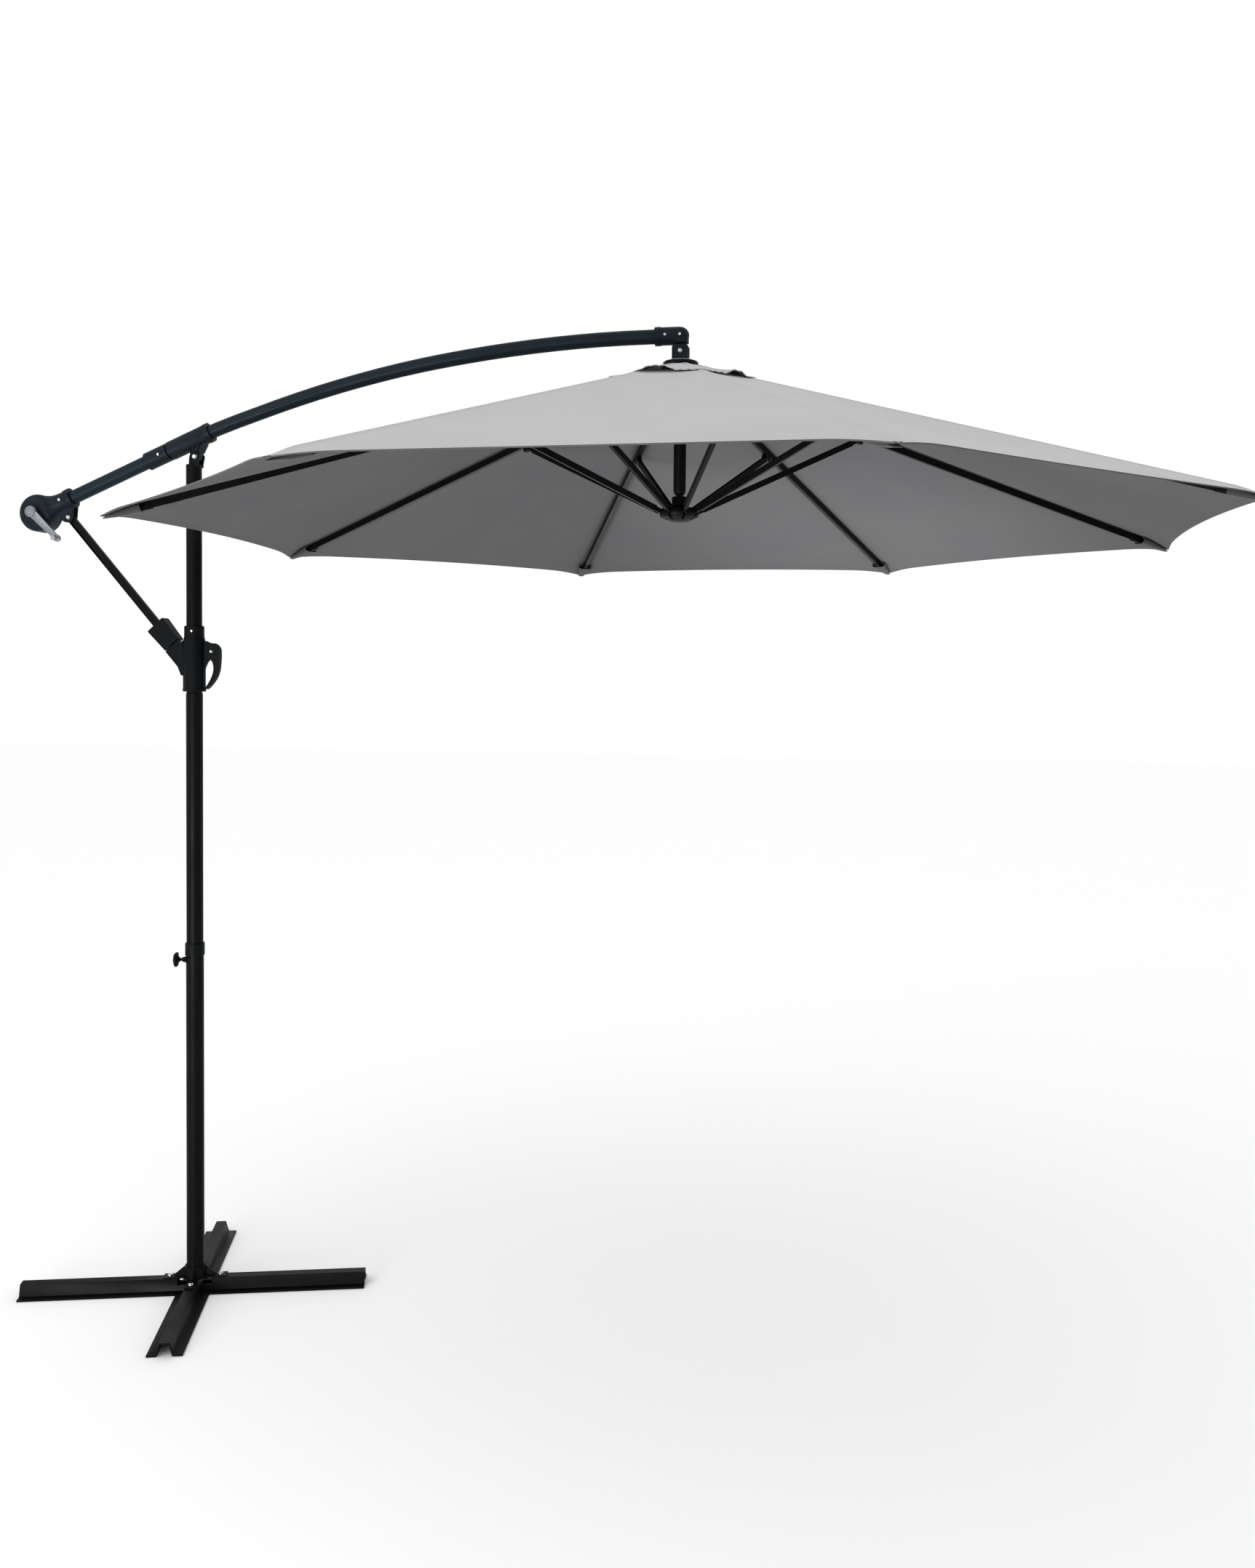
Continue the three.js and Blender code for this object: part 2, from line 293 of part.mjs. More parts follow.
hanger = join(hanger, cylZ(15, 2572.2, hz0 + 1, 24, CX));
hanger = cut(hanger, cylZ(6, 2560, 2600, 16, CX));
node(whole, "canopy_hanger", hanger, "arm");
node(whole, "hanger_pin", boltYf(4.6, 7, 16.4, CX, HANG_Z, 16), "steel");

// ---------------------------------------------------------------- canopy
const canopy = new THREE.Group();
canopy.position.x = CX;
whole.add(canopy);
node(canopy, "top_disc", solid(lathe([[15.4, 2574.6], [45, 2574.6], [46.5, 2576.5], [46, 2581], [38, 2584.6], [22, 2586.4], [15.4, 2586.4]], 28)), "pale");
// crown: eight slots hold the ribs' inner ends
let crown = solid(lathe([[0, 2543], [30, 2543], [52, 2546], [55, 2550], [55, 2563], [48, 2568], [30, 2571.4], [0, 2571.4]], 24));
const slotAt = (a, w, r0, r1, z0, z1) => solid(new THREE.BoxGeometry(r1 - r0, w, z1 - z0).translate((r0 + r1) / 2, 0, (z0 + z1) / 2).rotateZ(a));
const angle = (k) => (22.5 + 45 * k) * RAD;
for (let k = 0; k < N; k++) crown = cut(crown, slotAt(angle(k), 7, 29, 70, 2530, 2566));
crown = cut(crown, cylZ(17.0, 2530, 2562, 28), cylZ(6, 2530, 2600, 16));
node(canopy, "crown", crown, "dark");
const post = solid(lathe([[5, 2234.6], [10, 2235], [14.5, 2239], [16.5, 2247], [16.5, 2561.6], [14.6, 2561.6], [14.6, 2248], [12.8, 2241.5], [9, 2237.2], [5, 2236.9]], 20));
node(canopy, "canopy_post", post, "dark");
// canopy and vent cap: thin eight-sided shells
const slope = (TOP.z - RIM.z) / (RIM.r - TOP.r);
const zTop = (r) => RIM.z + (RIM.r - r) * slope;
const mid = (a, b, s) => a + (b - a) * s;
const top = [], low = [];
for (let i = 0; i <= 4; i++) { const r = mid(VENT_R, RIM.r, i / 4); top.push([r, zTop(r)]); low.push([r, zTop(r) - FABRIC * 1.05]); }
node(canopy, "canopy_fabric", solid(lathe([...low, ...top.reverse()], N, Math.PI / 8)), "fabric");
node(canopy, "vent_cap", solid(lathe([[17, 2572.4], [44, 2572.4], [225, 2528], [225, 2529.05], [44, 2573.6], [17, 2573.6]], N, Math.PI / 8)), "fabric");

// runner: lets down on its rope; its eight slots are open above and below
let runner = solid(lathe([[0, 2166], [22, 2166], [34, 2171], [50, 2178], [52, 2184], [52, 2196], [49, 2200], [30, 2202], [22.5, 2206], [20.5, 2214], [20.5, 2229], [18.5, 2232], [0, 2232]], 24));
for (let k = 0; k < N; k++) runner = cut(runner, slotAt(angle(k), 6.6, 33, 70, 2150, 2212));
runner = cut(runner, cylZ(4, 2150, 2240, 14), cylZ(13.5, 2216, 2240, 24));
node(canopy, "runner", runner, "dark");

// ribs and struts
const PHI = Math.atan2(RIB_P[1] - RIB_TIP[1], RIB_TIP[0] - RIB_P[0]);
const RIB_LEN = Math.hypot(RIB_TIP[0] - RIB_P[0], RIB_TIP[1] - RIB_P[1]);
const J = [RIB_P[0] + RIB_A * Math.cos(PHI) - RIB_OFF * Math.sin(PHI), RIB_P[1] - RIB_A * Math.sin(PHI) - RIB_OFF * Math.cos(PHI)];
const ST_LEN = Math.hypot(J[0] - RUN_P[0], J[1] - RUN_P[1]);
const PSI = Math.asin((J[1] - RUN_P[1]) / ST_LEN);
function ribSolid() {
  let s = join(box(26, RIB_LEN - 8, -6, 6, -9, 9), box(-7, 34, -3, 3, -6, 6));
  s = cut(s, box(44, RIB_LEN + 10, -5, 5, -8, 8));
  let b = cut(box(RIB_A - 15, RIB_A + 15, -7, 7, -RIB_OFF - 7, -8.5), box(RIB_A - 20, RIB_A + 20, -3.3, 3.3, -40, -9.4));
  return join(s, b);
}
function strutSolid() {
  let s = cut(box(18, ST_LEN - 22, -5, 5, -8, 8), box(30, ST_LEN - 34, -3.9, 3.9, -20, 6.9));
  s = join(s, box(0, 24, -2.7, 2.7, -6, 6), cylY(6, -2.7, 2.7, 0, 0, 8), box(ST_LEN - 28, ST_LEN, -2.7, 2.7, -6, 6), cylY(6, -2.7, 2.7, ST_LEN, 0, 8));
  return s;
}
for (let k = 0; k < N; k++) {
  const spoke = new THREE.Group();
  spoke.rotation.z = angle(k);
  canopy.add(spoke);
  const rib = node(spoke, "rib_" + (k + 1), ribSolid(), "dark");
  rib.position.set(RIB_P[0], 0, RIB_P[1]);
  rib.rotation.y = PHI;
  const strut = node(spoke, "strut_" + (k + 1), strutSolid(), "dark");
  strut.position.set(J[0], 0, J[1]);
  strut.rotation.y = Math.PI - PSI;
}

export default parasol;
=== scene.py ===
"""Looks of the cantilever parasol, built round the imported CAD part. Metres, row frame; most numbers below are millimetres in the arm's own frame, whose X starts at the pole."""

import json
import math

import bmesh
import bpy
from mathutils import Matrix, Vector

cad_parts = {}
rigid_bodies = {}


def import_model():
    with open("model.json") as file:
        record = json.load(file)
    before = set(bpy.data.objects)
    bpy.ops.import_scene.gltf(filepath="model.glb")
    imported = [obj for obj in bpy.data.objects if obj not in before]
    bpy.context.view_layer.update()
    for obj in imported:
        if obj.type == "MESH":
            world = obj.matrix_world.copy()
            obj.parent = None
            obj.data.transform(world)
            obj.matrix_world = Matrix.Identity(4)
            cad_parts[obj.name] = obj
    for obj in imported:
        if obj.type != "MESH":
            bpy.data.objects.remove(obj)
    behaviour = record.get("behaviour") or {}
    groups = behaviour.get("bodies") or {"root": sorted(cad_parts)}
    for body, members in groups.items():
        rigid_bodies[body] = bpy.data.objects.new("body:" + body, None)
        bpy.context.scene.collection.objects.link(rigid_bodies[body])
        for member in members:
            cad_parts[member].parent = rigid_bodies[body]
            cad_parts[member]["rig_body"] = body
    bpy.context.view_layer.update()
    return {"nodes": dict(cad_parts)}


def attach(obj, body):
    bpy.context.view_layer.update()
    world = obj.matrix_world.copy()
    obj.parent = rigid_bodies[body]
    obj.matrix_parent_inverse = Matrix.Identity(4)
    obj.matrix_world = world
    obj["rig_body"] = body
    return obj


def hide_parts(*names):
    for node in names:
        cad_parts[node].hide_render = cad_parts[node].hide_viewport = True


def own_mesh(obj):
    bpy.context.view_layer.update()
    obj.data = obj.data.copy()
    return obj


for o in list(bpy.data.objects):
    bpy.data.objects.remove(o, do_unlink=True)

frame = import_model()

SHIFT = -1091.0
CX = 1377.0
YAW = math.radians(16.5)


def W(x, y, z):
    return Vector(((x + SHIFT) / 1000, y / 1000, z / 1000))


# ---------------------------------------------------------------- materials
def lin(c):
    return tuple(
        (v / 255 / 12.92) if v / 255 <= 0.04045 else (((v / 255) + 0.055) / 1.055) ** 2.4
        for v in c
    ) + (1.0,)


def mat(name, rgb, rough, metal=0.0, coat=0.0, spec=0.5):
    m = bpy.data.materials.new(name)
    m.use_nodes = True
    b = m.node_tree.nodes["Principled BSDF"]
    b.inputs["Base Color"].default_value = lin(rgb)
    b.inputs["Roughness"].default_value = rough
    b.inputs["Metallic"].default_value = metal
    b.inputs["Specular IOR Level"].default_value = spec
    b.inputs["Coat Weight"].default_value = coat
    b.inputs["Coat Roughness"].default_value = 0.25
    return m, m.node_tree, b


def coords(nt, kind="Object", scale=(1, 1, 1)):
    tc = nt.nodes.new("ShaderNodeTexCoord")
    mp = nt.nodes.new("ShaderNodeMapping")
    mp.inputs["Scale"].default_value = scale
    nt.links.new(tc.outputs[kind], mp.inputs["Vector"])
    return mp.outputs["Vector"]


def noise(nt, vec, scale, detail=3.0, rough=0.55):
    n = nt.nodes.new("ShaderNodeTexNoise")
    n.inputs["Scale"].default_value = scale
    n.inputs["Detail"].default_value = detail
    n.inputs["Roughness"].default_value = rough
    nt.links.new(vec, n.inputs["Vector"])
    return n.outputs["Fac"]


def remap(nt, fac, a, b, lo=0.3, hi=0.7):
    r = nt.nodes.new("ShaderNodeMapRange")
    r.inputs["From Min"].default_value = lo
    r.inputs["From Max"].default_value = hi
    r.inputs["To Min"].default_value = a
    r.inputs["To Max"].default_value = b
    nt.links.new(fac, r.inputs["Value"])
    return r.outputs["Result"]


def mixrgb(nt, fac, a, b):
    x = nt.nodes.new("ShaderNodeMix")
    x.data_type = "RGBA"
    nt.links.new(fac, x.inputs["Factor"])
    for sock, v in ((x.inputs[6], a), (x.inputs[7], b)):
        if isinstance(v, tuple):
            sock.default_value = v
        else:
            nt.links.new(v, sock)
    return x.outputs[2]


def bump(nt, b, height, dist, strength=0.5, under=None):
    bm = nt.nodes.new("ShaderNodeBump")
    bm.inputs["Distance"].default_value = dist
    bm.inputs["Strength"].default_value = strength
    nt.links.new(height, bm.inputs["Height"])
    if under is not None:
        nt.links.new(under, bm.inputs["Normal"])
    nt.links.new(bm.outputs["Normal"], b.inputs["Normal"])
    return bm.outputs["Normal"]


def coated(name, rgb, rough, metal=0.0, grain=900, depth=0.00012, wear=10, coat=0.0, spec=0.5):
    """Powder coat or moulded plastic: a fine orange-peel grain, soft patches in the sheen and a little dust."""
    m, nt, b = mat(name, rgb, rough, metal, coat, spec)
    v = coords(nt)
    big = noise(nt, v, 7, 4)
    nt.links.new(remap(nt, big, rough - 0.06, rough + 0.09), b.inputs["Roughness"])
    light = lin([min(255, c + wear) for c in rgb])
    nt.links.new(mixrgb(nt, remap(nt, noise(nt, v, 23, 6, 0.7), 0, 1, 0.42, 0.75), lin(rgb), light), b.inputs["Base Color"])
    bump(nt, b, noise(nt, v, grain, 2), depth, 0.45)
    return m


def brushed(name, rgb, rough, axis_scale):
    m, nt, b = mat(name, rgb, rough, 1.0)
    v = coords(nt, scale=axis_scale)
    n = noise(nt, v, 60, 3)
    nt.links.new(remap(nt, n, rough - 0.08, rough + 0.12), b.inputs["Roughness"])
    nt.links.new(mixrgb(nt, noise(nt, coords(nt), 30, 4), lin(rgb), lin([max(0, c - 22) for c in rgb])), b.inputs["Base Color"])
    bump(nt, b, n, 0.00006, 0.3)
    return m


def cloth(name, rgb, dark, rough=0.82, pitch=0.0011, sheen=0.25, trans=0.0, spec=0.5):
    """Plain-weave polyester: threads both ways in true size, slubs, faint panel mottling and long soft pull lines."""
    m, nt, b = mat(name, rgb, rough, spec=spec)
    b.inputs["Sheen Weight"].default_value = sheen
    b.inputs["Sheen Roughness"].default_value = 0.5
    uv = coords(nt, "UV")
    heights = []
    for d in ("X", "Y"):
        w = nt.nodes.new("ShaderNodeTexWave")
        w.bands_direction = d
        w.inputs["Scale"].default_value = 2 * math.pi / (20 * pitch)
        w.inputs["Distortion"].default_value = 0.6
        w.inputs["Detail"].default_value = 1.0
        nt.links.new(uv, w.inputs["Vector"])
        heights.append(w.outputs["Fac"])
    mx = nt.nodes.new("ShaderNodeMath")
    mx.operation = "MAXIMUM"
    nt.links.new(heights[0], mx.inputs[0])
    nt.links.new(heights[1], mx.inputs[1])
    weave = mx.outputs[0]
    pulls = noise(nt, coords(nt, "UV", (5.5, 0.9, 1)), 1.6, 3, 0.5)
    slub = noise(nt, coords(nt, "UV", (1, 14, 1)), 40, 3)
    patch = noise(nt, coords(nt, "UV"), 2.3, 4, 0.6)
    tint = mixrgb(nt, remap(nt, patch, 0, 1, 0.3, 0.7), lin(dark), lin(rgb))
    tint = mixrgb(nt, remap(nt, slub, 0, 0.12, 0.4, 0.9), tint, lin([max(0, c - 40) for c in rgb]))
    tint = mixrgb(nt, remap(nt, weave, 0.16, 0, 0.2, 0.8), tint, lin([max(0, c - 60) for c in rgb]))
    nt.links.new(tint, b.inputs["Base Color"])
    n1 = bump(nt, b, pulls, 0.010, 0.16)
    bump(nt, b, weave, 0.00025, 0.5, n1)
    if trans:
        b.inputs["Subsurface Weight"].default_value = 0.0
        tl = nt.nodes.new("ShaderNodeBsdfTranslucent")
        nt.links.new(tint, tl.inputs["Color"])
        ms = nt.nodes.new("ShaderNodeMixShader")
        ms.inputs[0].default_value = trans
        nt.links.new(b.outputs[0], ms.inputs[1])
        nt.links.new(tl.outputs[0], ms.inputs[2])
        out = nt.nodes["Material Output"]
        nt.links.new(ms.outputs[0], out.inputs["Surface"])
    return m


M = {
    "base": coated("base_powder_coat", (6, 7, 9), 0.42, 0.0, 1100, 0.00012, 3, 0.0, 0.07),
    "pole": coated("pole_powder_coat", (5, 6, 8), 0.4, 0.0, 1300, 0.0001, 3, 0.0, 0.06),
    "arm": coated("arm_powder_coat", (14, 26, 32), 0.38, 0.0, 1300, 0.0001, 4, 0.0, 0.09),
    "black": coated("black_plastic_moulded", (6, 9, 12), 0.46, 0.0, 1600, 0.00012, 3, 0.0, 0.06),
    "dark": coated("black_plastic_fine", (6, 7, 8), 0.46, 0.0, 1600, 0.0001, 3, 0.0, 0.08),
    "blueblack": coated("blue_black_plastic", (12, 20, 26), 0.42, 0.0, 1600, 0.0001, 4, 0.0, 0.1),
    "rib": coated("rib_coat", (6, 7, 8), 0.36, 0.0, 1300, 0.0001, 3, 0.0, 0.1),
    "silver": coated("silver_paint", (118, 122, 126), 0.3, 0.65, 2200, 0.00008, 8, 0.0, 0.5),
    # pale plastic: a painted highlight, used only on the top dome to stand in for the sheen on top of the dark disc
    "pale": coated("pale_plastic", (170, 172, 174), 0.48, 0.0, 1600, 0.0001, 8),
    "steel": brushed("zinc_steel", (200, 202, 204), 0.28, (1, 1, 9)),
    "top": cloth("canopy_top_cloth", (181, 181, 182), (174, 174, 176), trans=0.05),
    # painted shade: the underside cloth is coloured far darker than the top cloth, to stand in for the shade under the
    # canopy
    "under": cloth("canopy_under_cloth_painted_shade", (95, 95, 96), (90, 90, 92), rough=0.85, sheen=0.0, spec=0.08),
    "hem": cloth("hem_binding", (74, 74, 76), (64, 64, 66), pitch=0.0014, sheen=0.05),
    "pocket": cloth("pocket_cloth", (58, 58, 60), (48, 48, 50), pitch=0.0016, sheen=0.05),
}


# ---------------------------------------------------------------- mesh helpers
def obj_from(name, verts, faces, material, body, replaces=(), angle=35, metres=False):
    me = bpy.data.meshes.new(name)
    me.from_pydata([tuple(v) if metres else tuple(W(*v)) for v in verts], [], faces)
    me.validate()
    bm = bmesh.new()
    bm.from_mesh(me)
    bmesh.ops.recalc_face_normals(bm, faces=bm.faces)
    bm.to_mesh(me)
    bm.free()
    me.polygons.foreach_set("use_smooth", [True] * len(me.polygons))
    me.set_sharp_from_angle(angle=math.radians(angle))
    me.materials.append(M[material])
    o = bpy.data.objects.new(name, me)
    bpy.context.scene.collection.objects.link(o)
    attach(o, body)
    if replaces:
        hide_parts(*([replaces] if isinstance(replaces, str) else replaces))
    return o


def bevel(o, width=0.8, seg=2, angle=38):
    b = o.modifiers.new("edge", "BEVEL")
    b.width = width / 1000
    b.segments = seg
    b.limit_method = "ANGLE"
    b.angle_limit = math.radians(angle)
    b.harden_normals = True
    b.use_clamp_overlap = True
    return o


def refined(node, material, body=None, width=0.8, seg=2, name=None, angle=38):
    """A CAD node's own shape with merged flats, smooth rounds and softened edges."""
    src = frame["nodes"][node]
    me = src.data.copy()
    me.name = (name or node) + "_finish"
    bm = bmesh.new()
    bm.from_mesh(me)
    bmesh.ops.remove_doubles(bm, verts=bm.verts, dist=2e-6)
    bmesh.ops.dissolve_limit(bm, angle_limit=math.radians(0.6), verts=bm.verts, edges=bm.edges)
    bmesh.ops.recalc_face_normals(bm, faces=bm.faces)
    bm.to_mesh(me)
    bm.free()
    me.polygons.foreach_set("use_smooth", [True] * len(me.polygons))
    me.set_sharp_from_angle(angle=math.radians(angle))
    me.materials.clear()
    me.materials.append(M[material])
    o = bpy.data.objects.new((name or node) + "_finish", me)
    bpy.context.scene.collection.objects.link(o)
    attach(o, src["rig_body"])
    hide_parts(node)
    if width:
        bevel(o, width, seg, angle)
    return o


REFINE = {
    "base_bar_long": ("base", 1.6, "base_steel"), "base_bar_cross": ("base", 1.6, "base_steel"), "pole_foot": ("base", 1.0, "base_steel"),
    "foot_bolt_1": ("steel", 0.5, "screw_steel"), "foot_bolt_2": ("steel", 0.5, "screw_steel"), "foot_bolt_3": ("steel", 0.5, "screw_steel"), "foot_bolt_4": ("steel", 0.5, "screw_steel"),
    "lower_pole": ("pole", 0.4, "pole_steel"), "pole_collar": ("black", 0.8, "black_plastic"), "knob_bush": ("black", 0.8, "black_plastic"), 
    "middle_pole": ("pole", 0.4, "pole_steel"), "top_pole": ("pole", 0.4, "pole_steel"), "pole_head": ("black", 1.0, "black_plastic"), "pivot_bolt": ("steel", 0.6, "screw_steel"),
    "slider": ("black", 1.4, "black_plastic"), "slider_ring": ("black", 1.0, "black_plastic"), "trigger_pin": ("steel", 0.5, "screw_steel"), "trigger": ("black", 2.0, "black_plastic"),
    "tie_rod": ("pole", 1.2, "pole_steel"), "rod_socket": ("black", 1.3, "black_plastic"), "rod_pin": ("steel", 0.5, "screw_steel"),
    "rear_arm_tube": ("arm", 0.4, "arm_aluminium"), "arm_tube": ("arm", 0.4, "arm_aluminium"), "arm_coupler": ("blueblack", 1.0, "blue_black_plastic"), "arm_bracket": ("blueblack", 1.0, "blue_black_plastic"),
    "winder_cover": ("blueblack", 1.2, "blue_black_plastic"), "elbow": ("blueblack", 1.2, "blue_black_plastic"), "hanger_pin": ("steel", 0.5, "screw_steel"),
    "winding_drum": ("dark", 0.5, "black_plastic"), "rope_pulley": ("dark", 0.4, "black_plastic"),
    "canopy_hanger": ("blueblack", 1.4, "blue_black_plastic"), "crown": ("dark", 0.8, "black_plastic"), "canopy_post": ("pole", 0.5, "rib_aluminium"), "runner": ("dark", 1.0, "black_plastic"),
}
for node, (m, w, s) in REFINE.items():
    refined(node, m, width=w)

# ---------------------------------------------------------------- ribs and struts
RIB_P, RIB_TIP = (42.0, 2556.0), (1440.0, 2131.5)
PHI = math.atan2(RIB_P[1] - RIB_TIP[1], RIB_TIP[0] - RIB_P[0])
RIB_LEN = math.hypot(RIB_TIP[0] - RIB_P[0], RIB_TIP[1] - RIB_P[1])


def ang(k):
    return math.radians(22.5 + 45 * (k - 1))


def canopy_pt(r, a, z):
    return (CX + r * math.cos(a), r * math.sin(a), z)


for k in range(1, 9):
    rib = refined(f"rib_{k}", "rib", width=1.2)
    a = ang(k)
    for v in rib.data.vertices:
        r = (v.co.x * 1000 - SHIFT - CX) * math.cos(a) + v.co.y * 1000 * math.sin(a)
        if (r - RIB_P[0]) * math.cos(PHI) - (v.co.z * 1000 - RIB_P[1]) * math.sin(PHI) > RIB_LEN - 20:
            v.co -= Vector((math.cos(a) * math.cos(PHI), math.sin(a) * math.cos(PHI), -math.sin(PHI))) * 0.046
    refined(f"strut_{k}", "rib", width=1.0)


def along_rib(k, s, off, side):
    """A point s along rib k, off above its axis and side across it."""
    a = ang(k)
    r = RIB_P[0] + s * math.cos(PHI) + off * math.sin(PHI)
    z = RIB_P[1] - s * math.sin(PHI) + off * math.cos(PHI)
    return (CX + r * math.cos(a) - side * math.sin(a), r * math.sin(a) + side * math.cos(a), z)


def superellipse(a, b, e, n):
    out = []
    for i in range(n):
        t = 2 * math.pi * i / n
        c, s = math.cos(t), math.sin(t)
        out.append((a * math.copysign(abs(c) ** (2 / e), c), b * math.copysign(abs(s) ** (2 / e), s)))
    return out


def skin(rings, cap=True, closed=True):
    """Faces over rings of equal length, quads between them and a fan-less n-gon at each end."""
    n = len(rings[0])
    verts = [p for r in rings for p in r]
    faces = []
    for i in range(len(rings) - 1):
        for j in range(n if closed else n - 1):
            q = (j + 1) % n
            faces.append((i * n + j, i * n + q, (i + 1) * n + q, (i + 1) * n + j))
    if cap:
        faces.append(tuple(range(n))[::-1])
        faces.append(tuple((len(rings) - 1) * n + j for j in range(n)))
    return verts, faces


# ---------------------------------------------------------------- canopy cloth
VENT, RIM = 150.0, 1444.0
SLOPE = (2572 - 2144) / (1444 - 46)


def z_rib(r):
    return 2144 + (RIM - r) * SLOPE - 1.5


LIFTS = {6: (0.30, 0.22, 12.5), 7: (0.68, 0.14, 11), 5: (0.27, 0.07, 7), 0: (0.4, 0.2, 9), 1: (0.6, 0.22, 12), 2: (0.35, 0.2, 10), 3: (0.62, 0.2, 12), 4: (0.5, 0.18, 8)}


def smooth(t):
    t = min(1.0, max(0.0, t))
    return t * t * (3 - 2 * t)


def cloth_point(k, r, d, lift=0.0, cap=False):
    """The cloth at rib radius r, d from the line over rib k towards its neighbour (negative the other way), as a share of the panel's side."""
    side = 1 if d >= 0 else -1
    s = abs(d)
    a0 = ang(k)
    a1 = a0 + side * math.radians(45)
    am = a0 + side * math.radians(22.5)
    x = (1 - s) * r * math.cos(a0) + s * r * math.cos(a1)
    y = (1 - s) * r * math.sin(a0) + s * r * math.sin(a1)
    g = 4 * s * (1 - s)
    if cap:
        t = (r - 44) / (CAP_R - 44)
        panel = round(math.degrees(am) / 45) % 8
        q = s if side > 0 else 1 - s
        c, w, high = LIFTS[panel]
        z = z_cap(r) + lift + high * math.exp(-(((q - c) / w) ** 4)) * t ** 2.4
        z += (0.9 * math.sin(2 * math.pi * 8 * q + panel) + 0.5 * math.sin(2 * math.pi * 17 * q + 2 * panel)) * g ** 0.5 * max(0.0, t) ** 5
        e = g * max(0.0, t) ** 3 * 9
    else:
        t = (r - VENT) / (RIM - VENT)
        z = z_rib(r) + lift - g * (15 * math.sin(math.pi * min(1, t * 0.92 + 0.04)) ** 0.9 + 3 * t)
        corner = max(0.0, 1 - s * 2 * r * math.sin(math.radians(22.5)) / 130) ** 2
        z -= 9 * smooth((r - (RIM - 80)) / 80) * corner
        e = g * 33 * t ** 5
    x -= e * math.cos(am)
    y -= e * math.sin(am)
    z += e * SLOPE / math.cos(math.radians(22.5))
    return x, y, z


CAP_R = 222.0


def z_cap(r):
    return z_rib(r) + 2.6


def gore(k, radii, columns, thick, hem, cap=False):
    """One closed cloth gore centred on rib k: its outer face, its inner face and the edges between."""
    up, low = [], []
    hem_rows = {}
    for i, r in enumerate(radii):
        row_u, row_l = [], []
        full = 2 * r * math.sin(math.radians(22.5))
        for c in columns:
            kind, v = c
            d = math.copysign(min(abs(v) / full, 0.45), v) if kind == "mm" else v
            ridge = 0.0
            if kind == "mm":
                ridge = {0: 0.5, 4: 1.7, 7: 1.6, 10: 0.0}[abs(v)]
                if cap:
                    ridge *= 0.7
            fold = r > radii[-1] - hem - 14
            edge = r > radii[-1] - hem
            x, y, z = cloth_point(k, r, d, ridge + (0.3 if fold else 0.0) + (0.5 if edge else 0.0), cap)
            th = thick + (0.8 if fold else 0.0) + (0.9 if edge else 0.0)
            row_u.append((CX + x, y, z))
            row_l.append((CX + x, y, z - th))
        up.append(row_u)
        low.append(row_l)
    nr, nc = len(radii), len(columns)
    verts = [p for row in up for p in row] + [p for row in low for p in row]
    off = nr * nc
    faces, mats = [], []
    for i in range(nr - 1):
        in_hem = radii[i] >= radii[-1] - hem - 0.3
        for j in range(nc - 1):
            a, b, c, d = i * nc + j, i * nc + j + 1, (i + 1) * nc + j + 1, (i + 1) * nc + j
            faces.append((a, d, c, b))
            mats.append(2 if in_hem and not cap else 0)
            faces.append((off + a, off + b, off + c, off + d))
            # the inner face takes the underside cloth, whose dark colour is painted shade
            mats.append(2 if in_hem else 1)
    for j in range(nc - 1):
        faces.append((j, j + 1, off + j + 1, off + j))
        mats.append(1)
        e = (nr - 1) * nc
        faces.append((e + j, off + e + j, off + e + j + 1, e + j + 1))
        mats.append(0 if cap else 2)
    for i in range(nr - 1):
        a, b = i * nc, (i + 1) * nc
        faces.append((a, off + a, off + b, b))
        mats.append(1)
        a, b = i * nc + nc - 1, (i + 1) * nc + nc - 1
        faces.append((a, b, off + b, off + a))
        mats.append(1)
    name = ("vent_gore_" if cap else "canopy_gore_") + str(k)
    me = bpy.data.meshes.new(name)
    me.from_pydata([tuple(W(*v)) for v in verts], [], faces)
    for key in ("top", "under", "hem"):
        me.materials.append(M[key])
    me.polygons.foreach_set("material_index", mats)
    uvl = me.uv_layers.new(name="UVMap")
    a0 = ang(k)
    for loop in me.loops:
        x, y, z = verts[loop.vertex_index]
        x -= CX
        u = -x * math.sin(a0) + y * math.cos(a0)
        v = x * math.cos(a0) + y * math.sin(a0)
        uvl.data[loop.index].uv = (u / 1000 + 0.37 * k, v / 1000)
    me.polygons.foreach_set("use_smooth", [True] * len(me.polygons))
    me.set_sharp_from_angle(angle=math.radians(30))
    o = bpy.data.objects.new(name, me)
    bpy.context.scene.collection.objects.link(o)
    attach(o, f"rib_{k}_arm")
    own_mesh(o)
    area = sum(p.area for p in me.polygons) / 2
    return o, area


fine = [0.5 - 0.02 * i for i in range(21)]
half = [0.5, 0.46, 0.42, 0.38, 0.34, 0.30, 0.26, 0.22, 0.18, 0.14, 0.11, 0.085, 0.06, 0.035]
columns = [("s", -v) for v in half] + [("mm", -10), ("mm", -7), ("mm", -4), ("mm", 0), ("mm", 4), ("mm", 7), ("mm", 10)] + [("s", v) for v in reversed(half)]
near_vent = [("s", -v) for v in fine] + [("mm", -7), ("mm", -4), ("mm", 0), ("mm", 4), ("mm", 7)] + [("s", v) for v in reversed(fine)]
radii = [VENT + (RIM - 90 - VENT) * i / 30 for i in range(31)] + [RIM - v for v in (72, 54, 38, 27, 21.5, 20, 13, 7.6, 6.6, 6.0, 3, 1, 0)]
cap_radii = [44 + (CAP_R - 22 - 44) * i / 10 for i in range(11)] + [CAP_R - v for v in (19, 17.5, 11, 6.5, 5, 1, 0)]


